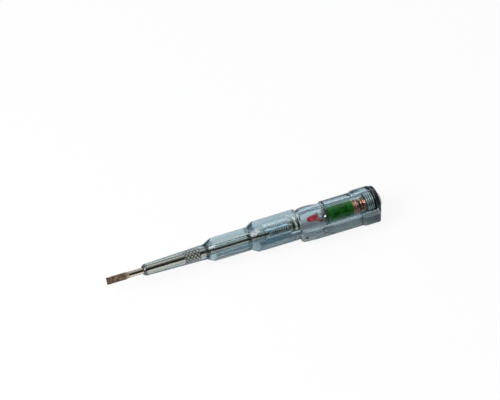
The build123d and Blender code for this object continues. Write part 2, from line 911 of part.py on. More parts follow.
with BuildPart() as end_cap:
    with BuildSketch(Plane.XZ):
        with BuildLine():
            Polyline(
                (handle_end, stem_diameter / 2),
                (handle_end, cap_diameter / 2),
                (cap_rim_end, cap_diameter / 2),
            )
            rim_curve = TangentArc(
                (cap_rim_end, cap_diameter / 2),
                (cap_corner_end, cap_corner_radius),
                tangent=(1, 0),
            )
            dome_curve = TangentArc(rim_curve @ 1, (cap_face, cap_face_diameter / 2), tangent=rim_curve % 1)
            Polyline(
                dome_curve @ 1,
                (cap_face, plate_recess),
                (stem_end, plate_recess),
                (stem_end, stem_diameter / 2),
                (handle_end, stem_diameter / 2),
            )
        make_face()
    revolve(axis=Axis.X)

end_cap.part.label = "end_cap"
export_step(end_cap.part, "parts/end_cap.step")


# Touch plate: a crowned metal disc that a fingertip rests on
plate_rim_end = stem_end + touch_plate_thickness - touch_plate_crown

with BuildPart() as touch_plate:
    with BuildSketch(Plane.XZ):
        with BuildLine():
            Line((stem_end, 0), (stem_end, touch_plate_diameter / 2))
            Line((stem_end, touch_plate_diameter / 2), (plate_rim_end, touch_plate_diameter / 2))
            crown = TangentArc(
                (plate_rim_end + touch_plate_crown, 0),
                (plate_rim_end, touch_plate_diameter / 2),
                tangent=(0, 1),
            )
            Line((plate_rim_end + touch_plate_crown, 0), (stem_end, 0))
        make_face()
    revolve(axis=Axis.X)

touch_plate.part.label = "touch_plate"
export_step(touch_plate.part, "parts/touch_plate.step")

print("length overall", round(shaft_bare_length + plate_rim_end + touch_plate_crown, 2), "mm")
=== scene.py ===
from math import atan2, cos, pi, radians, sin

import bpy
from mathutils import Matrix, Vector


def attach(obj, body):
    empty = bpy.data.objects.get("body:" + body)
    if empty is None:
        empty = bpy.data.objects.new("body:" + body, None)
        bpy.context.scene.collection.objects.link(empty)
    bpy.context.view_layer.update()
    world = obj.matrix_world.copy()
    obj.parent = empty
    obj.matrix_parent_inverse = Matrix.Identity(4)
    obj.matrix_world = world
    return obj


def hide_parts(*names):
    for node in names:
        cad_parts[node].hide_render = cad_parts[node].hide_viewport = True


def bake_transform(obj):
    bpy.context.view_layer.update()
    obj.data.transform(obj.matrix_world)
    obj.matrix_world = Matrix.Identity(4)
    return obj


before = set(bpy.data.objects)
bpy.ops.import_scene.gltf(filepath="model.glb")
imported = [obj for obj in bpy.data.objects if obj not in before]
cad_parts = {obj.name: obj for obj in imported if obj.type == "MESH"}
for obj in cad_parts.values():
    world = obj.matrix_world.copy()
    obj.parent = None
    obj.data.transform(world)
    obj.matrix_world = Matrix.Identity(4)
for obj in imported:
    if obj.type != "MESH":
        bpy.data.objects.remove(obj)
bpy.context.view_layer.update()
scene = bpy.context.scene
scene.view_settings.view_transform = "Standard"


# The photograph's view: from above the clip's side, a little towards the blade,
# with the object across the frame and the blade at the lower left.
view_distance = 6.0
view_turn = radians(-24.40)
view_height = radians(41.61)
view_target = Vector((0.05909, 0.01002, 0.01399))
view_direction = Vector((
    sin(view_turn) * cos(view_height),
    -cos(view_turn) * cos(view_height),
    sin(view_height),
))
bpy.ops.object.camera_add(
    location=view_target + view_direction * view_distance,
    rotation=(pi / 2 - view_height, 0, view_turn),
)
camera = bpy.context.object
camera.name = "photo_camera"
camera.data.sensor_width = 36.0
camera.data.lens = 929.2
scene.camera = camera


# The table it lies on: one plain matt white sheet, which keeps a soft shadow.
# The camera sees it as an even white, and a little of that white is seen through the plastic too.
def calculated(nodes, links, operation, *values):
    """One sum on numbers and values."""
    sum_node = nodes.new("ShaderNodeMath")
    sum_node.operation = operation
    for value, socket in zip(values, sum_node.inputs):
        if isinstance(value, (int, float)):
            socket.default_value = value
        else:
            links.new(value, socket)
    return sum_node.outputs[0]


sheet_size, sheet_height = 6.0, -0.00788
even_white_seen, even_white_through_plastic = 0.89, 0.10
bpy.ops.mesh.primitive_plane_add(size=sheet_size, location=(0, 0, sheet_height))
table_top = bpy.context.object
table_top.name = "table_top"
white_sheet = bpy.data.materials.new("white_sheet")
white_sheet.use_nodes = True
nodes, links = white_sheet.node_tree.nodes, white_sheet.node_tree.links
sheet_shader = nodes["Principled BSDF"]
sheet_shader.inputs["Base Color"].default_value = (0.90, 0.90, 0.90, 1)
sheet_shader.inputs["Roughness"].default_value = 0.9
sheet_shader.inputs["Specular IOR Level"].default_value = 0.0
sheet_glow = nodes.new("ShaderNodeEmission")
sheet_glow.inputs["Strength"].default_value = 1.0
ray = nodes.new("ShaderNodeLightPath").outputs
through_plastic = calculated(
    nodes, links, "MULTIPLY", ray["Is Transmission Ray"], even_white_through_plastic
)
seen_share = calculated(
    nodes, links, "MULTIPLY_ADD", ray["Is Camera Ray"], even_white_seen, through_plastic
)
sheet_mix = nodes.new("ShaderNodeMixShader")
links.new(seen_share, sheet_mix.inputs[0])
links.new(sheet_shader.outputs[0], sheet_mix.inputs[1])
links.new(sheet_glow.outputs[0], sheet_mix.inputs[2])
links.new(sheet_mix.outputs[0], nodes["Material Output"].inputs["Surface"])
table_top.data.materials.append(white_sheet)


# The room: a studio, palest overhead, cool and dimmer low at the far side, dark behind the camera.
# Polished metal shows those steps as bands along its length.
def stepped_colour(nodes, links, value, stops):
    """A colour that goes through stops, each of them a position and a colour."""
    steps = nodes.new("ShaderNodeValToRGB")
    elements = steps.color_ramp.elements
    while len(elements) < len(stops):
        elements.new(0.5)
    for element, (position, colour) in zip(elements, stops):
        element.position = position
        element.color = (*colour, 1)
    links.new(value, steps.inputs[0])
    return steps


room = bpy.data.worlds.new("studio_room")
scene.world = room
room.use_nodes = True
nodes, links = room.node_tree.nodes, room.node_tree.links
room_light = nodes["Background"]
room_place = nodes.new("ShaderNodeTexCoord")
dark_side = Vector((0.309, -0.788, 0.532)).normalized()
room_side = nodes.new("ShaderNodeVectorMath")
room_side.operation = "DOT_PRODUCT"
room_side.inputs[1].default_value = dark_side
links.new(room_place.outputs["Generated"], room_side.inputs[0])
room_share = calculated(nodes, links, "MULTIPLY_ADD", room_side.outputs["Value"], 0.5, 0.5)
room_levels = stepped_colour(nodes, links, room_share, [
    (0.20, (0.11, 0.14, 0.16)),
    (0.29, (0.31, 0.36, 0.40)),
    (0.42, (0.37, 0.39, 0.40)),
    (0.47, (0.68, 0.68, 0.68)),
    (0.58, (0.84, 0.84, 0.84)),
    (0.767, (0.46, 0.46, 0.46)),
    (0.925, (0.10, 0.10, 0.10)),
    (0.975, (0.018, 0.018, 0.018)),
])
ray = nodes.new("ShaderNodeLightPath").outputs
room_mix = nodes.new("ShaderNodeMix")
room_mix.data_type = "RGBA"
room_mix.inputs["B"].default_value = (1, 1, 1, 1)
links.new(ray["Is Camera Ray"], room_mix.inputs["Factor"])
links.new(room_levels.outputs[0], room_mix.inputs["A"])
links.new(room_mix.outputs["Result"], room_light.inputs["Color"])


# One soft box of cool daylight at the far side, half way up: the flats that face up mirror it
# towards the camera, which lays a pale blue veil on them, and round pieces carry it as a line.
object_middle = Vector((0.05, 0, 0))


def soft_box(name, direction, distance, width, height, energy):
    """A rectangular lamp that faces the object's middle from one direction."""
    direction = Vector(direction).normalized()
    bpy.ops.object.light_add(
        type="AREA",
        location=object_middle + direction * distance,
        rotation=direction.to_track_quat("Z", "Y").to_euler(),
    )
    box = bpy.context.object
    box.name = name
    box.data.shape = "RECTANGLE"
    box.data.size = width
    box.data.size_y = height
    box.data.energy = energy
    return box


top_box = soft_box(
    "top_box", (0.309, 0.681, 0.664), distance=0.75, width=0.50, height=0.08, energy=0.50
)
top_box.data.color = (0.76, 0.94, 1.0)


# A wide soft box off the blade's end lights what is dull, and no long face mirrors it.
# It is by far the stronger lamp, and so large that the shadows are soft.
soft_box("side_box", (-0.72, -0.20, 0.66), distance=0.9, width=0.60, height=0.60, energy=8.0)


# The rod and its blade: drawn steel with a bright plate, forged flat at the end and ground.
# The blade lost its plate, so it is brown-grey with fine marks; the plate's colour is paler in the
# sleeve and darker in the grip.
def new_finish(name, metal=0.0):
    """A node material and its parts, for one finish of the object."""
    material = bpy.data.materials.new(name)
    material.use_nodes = True
    tree = material.node_tree
    shader = tree.nodes["Principled BSDF"]
    shader.inputs["Metallic"].default_value = metal
    return material, tree.nodes, tree.links, shader


def object_place(nodes, links, stretch=(1, 1, 1), turn=(0, 0, 0)):
    """Object coordinates, stretched and turned, for a pattern on the piece."""
    place = nodes.new("ShaderNodeTexCoord")
    mapping = nodes.new("ShaderNodeMapping")
    mapping.inputs["Scale"].default_value = stretch
    mapping.inputs["Rotation"].default_value = turn
    links.new(place.outputs["Object"], mapping.inputs["Vector"])
    return mapping.outputs["Vector"]


def place_axes(nodes, links):
    """Object coordinates as three values."""
    axes = nodes.new("ShaderNodeSeparateXYZ")
    links.new(object_place(nodes, links), axes.inputs[0])
    return axes.outputs


def grain(nodes, links, place, scale, detail=3.0):
    """Fine irregular grain at the given places."""
    noise = nodes.new("ShaderNodeTexNoise")
    noise.inputs["Scale"].default_value = scale
    noise.inputs["Detail"].default_value = detail
    links.new(place, noise.inputs["Vector"])
    return noise.outputs["Fac"]


grain_low, grain_high = 0.3, 0.7  # nearly all of a grain lies between these


def grain_colour(nodes, links, value, first, second, low=grain_low, high=grain_high):
    """A colour that goes from the first to the second with the grain."""
    return stepped_colour(nodes, links, value, [(low, first), (high, second)]).outputs[0]


def grain_tone(nodes, links, shader, value, first, second):
    """The base colour goes from the first to the second with the grain."""
    links.new(grain_colour(nodes, links, value, first, second), shader.inputs["Base Color"])


def spread(nodes, links, value, low, high, to_low, to_high):
    """A value carried from one range into another."""
    mapped = nodes.new("ShaderNodeMapRange")
    mapped.inputs["From Min"].default_value = low
    mapped.inputs["From Max"].default_value = high
    mapped.inputs["To Min"].default_value = to_low
    mapped.inputs["To Max"].default_value = to_high
    links.new(value, mapped.inputs["Value"])
    return mapped.outputs["Result"]


def grain_roughness(nodes, links, shader, value, smooth, rough):
    """The roughness goes from smooth to rough with the grain."""
    roughness = spread(nodes, links, value, grain_low, grain_high, smooth, rough)
    links.new(roughness, shader.inputs["Roughness"])


def blend_colours(nodes, links, share, first, second):
    """Two colours mixed by a share."""
    mixed = nodes.new("ShaderNodeMix")
    mixed.data_type = "RGBA"
    links.new(share, mixed.inputs["Factor"])
    for colour, socket in ((first, mixed.inputs["A"]), (second, mixed.inputs["B"])):
        if isinstance(colour, tuple):
            socket.default_value = (*colour, 1)
        else:
            links.new(colour, socket)
    return mixed.outputs["Result"]


def relief(nodes, links, shader, height, depth, strength):
    """Fine relief on a surface, from a height between 0 and 1 and a depth in metres."""
    bump = nodes.new("ShaderNodeBump")
    bump.inputs["Strength"].default_value = strength
    bump.inputs["Distance"].default_value = depth
    links.new(height, bump.inputs["Height"])
    links.new(bump.outputs["Normal"], shader.inputs["Normal"])


def give_finish(piece, material):
    """The whole piece takes this finish."""
    if not piece.data.materials:
        piece.data.materials.append(material)
    for slot in piece.material_slots:
        slot.material = material


rod_steel, nodes, links, shader = new_finish("rod_steel", metal=1.0)
slope_start, slope_full = -0.0103, -0.0096
ground_end, plate_start = -0.0079, -0.0071
sleeve_start, sleeve_full = 0.0000, 0.0008
grip_start, grip_full = 0.0290, 0.0345
mottle_low, mottle_high = 0.36, 0.64
plate_roughness, ground_roughness = 0.14, 0.42
along = place_axes(nodes, links)
bare_share = spread(nodes, links, along["X"], ground_end, plate_start, 1, 0)
drawn_lines = grain(nodes, links, object_place(nodes, links, stretch=(40, 900, 900)), scale=3)
plate = grain_colour(nodes, links, drawn_lines, (0.58, 0.505, 0.395), (0.68, 0.605, 0.49))
sleeved_plate = grain_colour(nodes, links, drawn_lines, (0.64, 0.575, 0.47), (0.76, 0.69, 0.59))
sleeved_share = spread(nodes, links, along["X"], sleeve_start, sleeve_full, 0, 1)
plate = blend_colours(nodes, links, sleeved_share, plate, sleeved_plate)
grip_plate = grain_colour(nodes, links, drawn_lines, (0.50, 0.455, 0.39), (0.66, 0.61, 0.54))
grip_share = spread(nodes, links, along["X"], grip_start, grip_full, 0, 1)
plate = blend_colours(nodes, links, grip_share, plate, grip_plate)
mottle_place = object_place(nodes, links, stretch=(1, 1, 1.5), turn=(0, 0, 0.5))
mottle = grain(nodes, links, mottle_place, scale=850, detail=5)
flat_brown = grain_colour(
    nodes, links, mottle, (0.21, 0.125, 0.080), (0.74, 0.54, 0.40), mottle_low, mottle_high
)
slope_brown = grain_colour(
    nodes, links, mottle, (0.17, 0.110, 0.073), (0.46, 0.36, 0.275), mottle_low, mottle_high
)
slope_share = spread(nodes, links, along["X"], slope_start, slope_full, 0, 1)
ground_brown = blend_colours(nodes, links, slope_share, flat_brown, slope_brown)
rod_colour = blend_colours(nodes, links, bare_share, plate, ground_brown)
links.new(rod_colour, shader.inputs["Base Color"])
rod_roughness = spread(nodes, links, bare_share, 0, 1, plate_roughness, ground_roughness)
links.new(rod_roughness, shader.inputs["Roughness"])
grinding_place = object_place(nodes, links, stretch=(6, 1, 1), turn=(0, 0, 0.6))
grinding = grain(nodes, links, grinding_place, scale=900, detail=2)
relief(nodes, links, shader, grinding, depth=0.00006, strength=0.35)
give_finish(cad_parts["blade_shaft"], rod_steel)


# The knurl: a band of crossed ridges rolled into the rod, which the plastic grips.
# It is steel like the rod; between its ridges it is painted near black, as painted shade.
knurl_start, knurl_end = 0.0208, 0.0286
knurl_valley, knurl_ridge = 0.00165, 0.00181
knurl_teeth = 6
knurl_facets, knurl_cuts = 180, 79
knurl_rim, knurl_runout = 0.00020, 0.0003
knurl_skin = 0.00005
ridge_sharpness = 1.6
bpy.ops.object.select_all(action="DESELECT")
bpy.ops.mesh.primitive_cylinder_add(
    vertices=knurl_facets,
    radius=knurl_valley,
    depth=knurl_end - knurl_start,
    location=((knurl_start + knurl_end) / 2, 0, 0),
    rotation=(0, pi / 2, 0),
)
knurl = bpy.context.object
knurl.name = "knurled_band"
bpy.ops.object.transform_apply(location=True, rotation=True, scale=True)


def choose(piece, kind, wanted):
    """In edit mode, only those faces or edges are selected that are wanted."""
    bpy.ops.object.mode_set(mode="OBJECT")
    bpy.ops.object.select_all(action="DESELECT")
    piece.select_set(True)
    bpy.context.view_layer.objects.active = piece
    bpy.ops.object.mode_set(mode="EDIT")
    bpy.ops.mesh.select_mode(type=kind)
    bpy.ops.mesh.select_all(action="DESELECT")
    bpy.ops.object.mode_set(mode="OBJECT")
    parts = {"FACE": piece.data.polygons, "EDGE": piece.data.edges}[kind]
    for part in parts:
        part.select = wanted(part)
    bpy.ops.object.mode_set(mode="EDIT")


def lies_along(piece, edge):
    """An edge that runs along the axis of the object."""
    first, second = (piece.data.vertices[index].co for index in edge.vertices)
    return abs((first - second).normalized().x) > 0.9


choose(knurl, "EDGE", lambda edge: lies_along(knurl, edge))
bpy.ops.mesh.subdivide(number_cuts=knurl_cuts)
choose(knurl, "FACE", lambda face: abs(face.normal.x) > 0.9)
bpy.ops.mesh.inset(thickness=knurl_rim, depth=0.0)
bpy.ops.mesh.bridge_edge_loops()
bpy.ops.object.mode_set(mode="OBJECT")
for vertex in knurl.data.vertices:
    place = vertex.co
    if place.yz.length < knurl_valley - knurl_skin:
        continue
    turn = atan2(place.z, place.y) / (2 * pi) * knurl_teeth
    run = (place.x - knurl_start) / (2 * pi * knurl_valley) * knurl_teeth
    ridges = [1 - 2 * abs((turn + sign * run) % 1 - 0.5) for sign in (1, -1)]
    edge_gap = min(place.x - knurl_start, knurl_end - place.x) / knurl_runout
    height = min(min(ridges) * ridge_sharpness, 1.0) * min(edge_gap, 1.0)
    radius = knurl_valley + (knurl_ridge - knurl_valley) * height
    place.yz = place.yz.normalized() * radius
bpy.ops.object.shade_smooth_by_angle(angle=radians(25))


def from_axis(nodes, links):
    """How far a place is from the axis of the object, in metres."""
    distance = nodes.new("ShaderNodeVectorMath")
    distance.operation = "LENGTH"
    links.new(object_place(nodes, links, stretch=(0, 1, 1)), distance.inputs[0])
    return distance.outputs["Value"]


knurl_steel, nodes, links, shader = new_finish("knurl_steel", metal=1.0)
speck = grain(nodes, links, object_place(nodes, links), scale=3000)
bright_steel = grain_colour(nodes, links, speck, (0.60, 0.57, 0.50), (0.74, 0.71, 0.63))
# Painted shade: the valleys between the ridges are painted near black.
ridge_foot, ridge_crown = knurl_valley + knurl_skin, knurl_ridge - 0.00006
out_of_valley_shade = spread(nodes, links, from_axis(nodes, links), ridge_foot, ridge_crown, 0, 1)
knurl_colour_with_valley_shade = blend_colours(nodes, links, out_of_valley_shade, (0.14, 0.13, 0.11), bright_steel)
links.new(knurl_colour_with_valley_shade, shader.inputs["Base Color"])
grain_roughness(nodes, links, shader, speck, 0.34, 0.48)
give_finish(knurl, knurl_steel)
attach(knurl, "handle")


# The handle: one clear moulding in smoky blue plastic over the rod, which shows enlarged.
# It is polished, with faint flow waves; its underside and clip block are rubbed, and three rings
# round it are painted dark as painted shade.
soft_edge_angle = radians(30)


def welded_copy(node, name):
    """A copy of a solid with its corners joined and its round faces smooth."""
    bpy.ops.object.select_all(action="DESELECT")
    piece = bpy.data.objects.new(name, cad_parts[node].data.copy())
    piece.data.materials.clear()
    scene.collection.objects.link(piece)
    bpy.context.view_layer.objects.active = piece
    piece.select_set(True)
    if piece.data.has_custom_normals:
        bpy.ops.mesh.customdata_custom_splitnormals_clear()
    bpy.ops.object.mode_set(mode="EDIT")
    bpy.ops.mesh.select_all(action="SELECT")
    bpy.ops.mesh.remove_doubles(threshold=0.000002)
    bpy.ops.object.mode_set(mode="OBJECT")
    bpy.ops.object.shade_smooth_by_angle(angle=soft_edge_angle)
    return piece


plastic_tint = (0.93, 0.97, 0.98)
clip_root, clip_root_reach = 0.10755, 0.00002
clip_root_middle, clip_root_half_width = -0.01015, 0.00116


def clear_plastic(name, density):
    """Smoky blue clear plastic; where the clip grows from its block, light goes straight across."""
    material, nodes, links, shader = new_finish(name)
    shader.inputs["Base Color"].default_value = (*plastic_tint, 1)
    shader.inputs["Transmission Weight"].default_value = 1.0
    shader.inputs["IOR"].default_value = 1.52
    flow = grain(nodes, links, object_place(nodes, links, stretch=(0.3, 1, 1)), scale=260, detail=1)
    relief(nodes, links, shader, flow, depth=0.00012, strength=0.04)
    smoke = nodes.new("ShaderNodeVolumeAbsorption")
    smoke.inputs["Color"].default_value = (0.12, 0.40, 0.51, 1)
    smoke.inputs["Density"].default_value = density
    links.new(smoke.outputs[0], nodes["Material Output"].inputs["Volume"])
    place = place_axes(nodes, links)
    in_plane = calculated(nodes, links, "COMPARE", place["X"], clip_root, clip_root_reach)
    in_width = calculated(
        nodes, links, "COMPARE", place["Y"], clip_root_middle, clip_root_half_width
    )
    crossing = nodes.new("ShaderNodeBsdfTransparent")
    surface = nodes.new("ShaderNodeMixShader")
    links.new(calculated(nodes, links, "MULTIPLY", in_plane, in_width), surface.inputs[0])
    links.new(shader.outputs[0], surface.inputs[1])
    links.new(crossing.outputs[0], surface.inputs[2])
    links.new(surface.outputs[0], nodes["Material Output"].inputs["Surface"])
    polish = spread(nodes, links, flow, grain_low, grain_high, 0.015, 0.04)
    return material, nodes, links, shader, place, polish


clear_blue, nodes, links, shader, place, polish = clear_plastic("clear_blue", density=100.0)
underside_low, underside_high = -0.0047, -0.0030
block_outer, block_inner = -0.0096, -0.0090
rubbed_underside = spread(nodes, links, place["Z"], underside_low, underside_high, 0.55, 0.0)
rubbed_block = spread(nodes, links, place["Y"], block_outer, block_inner, 0.30, 0.0)
rubbed = calculated(nodes, links, "MAXIMUM", rubbed_underside, rubbed_block)
links.new(calculated(nodes, links, "ADD", polish, rubbed), shader.inputs["Roughness"])
# Painted shade: dark rings tinted into the base colour at the nose, the sleeve's step and the
# collar's front rim.
shade_ramp_start, shade_ramp_length = -0.001, 0.12
fade_in, fade_out = 0.0002, 0.0003
edge_shade_stops = [(0.0, plastic_tint)]
for edge_start, edge_end, edge_shade_colour in (
    (0.0000, 0.0012, (0.06, 0.09, 0.15)),
    (0.0317, 0.0330, (0.28, 0.40, 0.47)),
    (0.0920, 0.0924, (0.10, 0.16, 0.20)),
):
    edge_shade_stops.append((edge_start - fade_in, plastic_tint))
    edge_shade_stops.append((edge_start, edge_shade_colour))
    edge_shade_stops.append((edge_end, edge_shade_colour))
    edge_shade_stops.append((edge_end + fade_out, plastic_tint))
edge_shade_stops = [((place_x - shade_ramp_start) / shade_ramp_length, colour) for place_x, colour in edge_shade_stops]
edge_shade_share = spread(nodes, links, place["X"], shade_ramp_start, shade_ramp_start + shade_ramp_length, 0, 1)
painted_edge_shade = stepped_colour(nodes, links, edge_shade_share, edge_shade_stops)
links.new(painted_edge_shade.outputs[0], shader.inputs["Base Color"])
handle = welded_copy("handle_body", "handle_moulding")
give_finish(handle, clear_blue)
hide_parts("handle_body")
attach(handle, "handle")


# The pocket clip: an arm of the same plastic that springs at its root on the tail.
# Cloth rubs it dull, the grip bump most; its top edge and its dimple carry painted shade.
cuts_start, cut_step, cut_count = 0.1074, 0.0006, 15
clip = welded_copy("pocket_clip", "clip_arm")
for cut in range(1, cut_count + 1):
    choose(clip, "FACE", lambda face: True)
    bpy.ops.mesh.bisect(plane_co=(cuts_start - cut * cut_step, 0, 0), plane_no=(1, 0, 0))
bpy.ops.object.mode_set(mode="OBJECT")
bpy.ops.object.shade_smooth_by_angle(angle=soft_edge_angle)


def away_from(nodes, links, point, stretch=(1, 1, 1)):
    """How far a place is from a point, in metres."""
    distance = nodes.new("ShaderNodeVectorMath")
    distance.operation = "DISTANCE"
    distance.inputs[1].default_value = point
    links.new(object_place(nodes, links, stretch), distance.inputs[0])
    return distance.outputs["Value"]


clip_blue, nodes, links, shader, place, polish = clear_plastic("clip_blue", density=150.0)
bump_foot, bump_crest = -0.00896, -0.0088
edge_foot, edge_top = 0.0021, 0.0024
outer_side, inner_side = -0.0102, -0.0093
rubbed_bump = spread(nodes, links, place["Y"], bump_foot, bump_crest, 0.22, 0.6)
links.new(calculated(nodes, links, "ADD", polish, rubbed_bump), shader.inputs["Roughness"])
# Painted shade: the outer half of the top edge is dark; the paler tint elsewhere is a painted
# highlight on its inner half.
top_edge = spread(nodes, links, place["Z"], edge_foot, edge_top, 0, 1)
outer_half = spread(nodes, links, place["Y"], outer_side, inner_side, 1, 0)
top_edge_shade_share = calculated(nodes, links, "MULTIPLY", top_edge, outer_half)
lit_and_shaded_clip_colour = blend_colours(nodes, links, top_edge_shade_share, (0.97, 1.0, 1.0), (0.12, 0.16, 0.17))
# Painted shade: the dimple is painted near black.
dimple_centre, dimple_shade_inner, dimple_shade_outer = (0.07895, -0.0109, 0.0), 0.00060, 0.00080
from_dimple = away_from(nodes, links, dimple_centre)
dimple_shade_share = spread(nodes, links, from_dimple, dimple_shade_inner, dimple_shade_outer, 1, 0)
clip_colour_with_painted_shade = blend_colours(nodes, links, dimple_shade_share, lit_and_shaded_clip_colour, (0.001, 0.003, 0.004))
links.new(clip_colour_with_painted_shade, shader.inputs["Base Color"])
give_finish(clip, clip_blue)
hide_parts("pocket_clip")
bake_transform(clip)


# The front spring: drawn steel wire with a closed turn at each end, under light load.
# It presses the lamp's stack back, and carries the current to it from the rod.
def wound_spring(name, start, end, mean_radius, wire, turns):
    """A coil spring about the axis with a closed turn at each end, as a mesh."""
    steps = 28  # of each turn
    closed_pitch = wire * 1.02
    count = round((turns + 2) * steps)
    bpy.ops.curve.primitive_nurbs_path_add(enter_editmode=False)
    spring = bpy.context.object
    spring.name = name
    spring.data.splines.clear()
    line = spring.data.splines.new("POLY")
    line.points.add(count)
    first, last = start + wire / 2, end - wire / 2
    for step, point in enumerate(line.points):
        turn = step / steps
        if turn < 1:
            reach = closed_pitch * turn
        elif turn > turns + 1:
            reach = (last - first) - closed_pitch * (turns + 2 - turn)
        else:
            reach = closed_pitch + (last - first - 2 * closed_pitch) * (turn - 1) / turns
        angle = 2 * pi * turn
        point.co = (first + reach, mean_radius * cos(angle), mean_radius * sin(angle), 1)
    spring.data.bevel_depth = wire / 2
    spring.data.bevel_resolution = 4
    spring.data.use_fill_caps = True
    bpy.ops.object.select_all(action="DESELECT")
    spring.select_set(True)
    bpy.context.view_layer.objects.active = spring
    bpy.ops.object.convert(target="MESH")
    bpy.ops.object.transform_apply(location=True, rotation=True, scale=True)
    spring = bpy.context.object
    bpy.ops.object.mode_set(mode="EDIT")
    bpy.ops.mesh.select_all(action="SELECT")
    bpy.ops.mesh.remove_doubles(threshold=0.000001)
    bpy.ops.mesh.normals_make_consistent(inside=False)
    bpy.ops.object.mode_set(mode="OBJECT")
    bpy.ops.object.shade_smooth_by_angle(angle=radians(50))
    return spring


front_coil = wound_spring(
    "front_coil", start=0.0634, end=0.0739, mean_radius=0.00185, wire=0.0005, turns=8.0
)
spring_steel, nodes, links, shader = new_finish("spring_steel", metal=1.0)
speck = grain(nodes, links, object_place(nodes, links), scale=1800)
# Painted highlight and shade: the wire is bright only on its outermost face, and near black inside.
highlight_steel = grain_colour(nodes, links, speck, (0.78, 0.77, 0.70), (0.92, 0.91, 0.84))
shaded_inside, unshaded_outside = 0.00203, 0.00209
unshaded_share = spread(nodes, links, from_axis(nodes, links), shaded_inside, unshaded_outside, 0, 1)
coil_colour_with_inner_shade = blend_colours(nodes, links, unshaded_share, (0.015, 0.014, 0.013), highlight_steel)
links.new(coil_colour_with_inner_shade, shader.inputs["Base Color"])
grain_roughness(nodes, links, shader, speck, 0.26, 0.38)
give_finish(front_coil, spring_steel)
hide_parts("front_spring")
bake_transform(front_coil)


# The contact washer: a thin pale ring, turned in brass.
# It lies loose between the front spring, which bears on it, and the cup.
washer_brass, nodes, links, shader = new_finish("washer_brass", metal=1.0)
turned = grain(nodes, links, object_place(nodes, links, stretch=(30, 1, 1)), scale=1200)
grain_tone(nodes, links, shader, turned, (0.62, 0.54, 0.38), (0.80, 0.74, 0.58))
grain_roughness(nodes, links, shader, turned, 0.20, 0.34)
give_finish(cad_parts["contact_washer"], washer_brass)


# The contact cup: turned brass with nickel plate and a waist, open towards the lamp.
# It slides in the neck's bore and takes the current on to the resistor's lead.
cup_nickel, nodes, links, shader = new_finish("cup_nickel", metal=1.0)
turned = grain(nodes, links, object_place(nodes, links, stretch=(24, 1, 1)), scale=900)
# Painted shade and highlight: the plate is painted dark, and a band round the waist is painted
# bright.
plated = grain_colour(nodes, links, turned, (0.12, 0.12, 0.095), (0.25, 0.25, 0.20))
waist_middle, waist_half = 0.07645, 0.00050
along = place_axes(nodes, links)
waist_highlight = calculated(nodes, links, "COMPARE", along["X"], waist_middle, waist_half)
cup_colour_with_highlight = blend_colours(nodes, links, waist_highlight, plated, (0.93, 0.92, 0.84))
links.new(cup_colour_with_highlight, shader.inputs["Base Color"])
grain_roughness(nodes, links, shader, turned, 0.22, 0.38)
contact_cup = welded_copy("contact_cup", "turned_cup")
give_finish(contact_cup, cup_nickel)
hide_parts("contact_cup")
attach(contact_cup, "lamp_module")


# The lamp tube: thin clear plastic that keeps the cup and the board apart.
# The two springs clamp the stack through it, so the lamp's leads carry no load.
tube_clear, nodes, links, shader = new_finish("tube_clear")
shader.inputs["Base Color"].default_value = (0.97, 0.98, 0.99, 1)
shader.inputs["Transmission Weight"].default_value = 1.0
shader.inputs["IOR"].default_value = 1.49
drawn = grain(nodes, links, object_place(nodes, links, stretch=(0.1, 1, 1)), scale=900, detail=2)
grain_roughness(nodes, links, shader, drawn, 0.08, 0.18)
tube = welded_copy("lamp_tube", "clear_tube")
give_finish(tube, tube_clear)
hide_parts("lamp_tube")
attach(tube, "lamp_module")


# The lamp: a red light-emitting diode, cast in tinted epoxy, with a faint painted glow though it is
# not lit.
# Its flange is paler than its dome, and its leads hold it in front of the board.
lamp_red, nodes, links, shader = new_finish("lamp_red")
shader.inputs["Transmission Weight"].default_value = 0.65
shader.inputs["IOR"].default_value = 1.54
shader.inputs["Subsurface Weight"].default_value = 0.35
shader.inputs["Subsurface Radius"].default_value = (0.0012, 0.0003, 0.0003)
cast = grain(nodes, links, object_place(nodes, links), scale=500, detail=2)
grain_roughness(nodes, links, shader, cast, 0.16, 0.28)
lamp_axis, dome_radius, flange_radius = (0, 0, 0.0007), 0.00148, 0.00160
from_lamp_axis = away_from(nodes, links, lamp_axis, stretch=(0, 1, 1))
flange_share = spread(nodes, links, from_lamp_axis, dome_radius, flange_radius, 0, 1)
tinted = grain_colour(nodes, links, cast, (0.96, 0.025, 0.05), (1.0, 0.05, 0.08))
lamp_colour = blend_colours(nodes, links, flange_share, tinted, (0.80, 0.50, 0.50))
links.new(lamp_colour, shader.inputs["Base Color"])
# Painted glow: the unlit lamp is given a faint red light of its own.
painted_glow = blend_colours(nodes, links, flange_share, (1.0, 0.05, 0.09), (0.30, 0.12, 0.13))
links.new(painted_glow, shader.inputs["Emission Color"])
shader.inputs["Emission Strength"].default_value = 0.13
lamp = welded_copy("led_lamp", "red_lamp")
give_finish(lamp, lamp_red)
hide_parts("led_lamp")
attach(lamp, "lamp_module")


# The lamp's two leads: drawn wire with a coat of tin, cut to length.
# They go from the lamp's flange to the board, where they are soldered.
tinned_wire, nodes, links, shader = new_finish("tinned_wire", metal=1.0)
speck = grain(nodes, links, object_place(nodes, links, stretch=(0.2, 1, 1)), scale=2500)
grain_tone(nodes, links, shader, speck, (0.58, 0.57, 0.52), (0.80, 0.79, 0.75))
grain_roughness(nodes, links, shader, speck, 0.18, 0.32)
give_finish(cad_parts["led_leads"], tinned_wire)


# The board: glass-fibre sheet with a green mask, round to fit the bore.
# It stands across the bore, between the lamp's tube and the first cell.
board_green, nodes, links, shader = new_finish("board_green")
weave = grain(nodes, links, object_place(nodes, links), scale=1500)
grain_tone(nodes, links, shader, weave, (0.05, 0.16, 0.06), (0.10, 0.26, 0.11))
grain_roughness(nodes, links, shader, weave, 0.35, 0.5)
give_finish(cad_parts["circuit_board"], board_green)


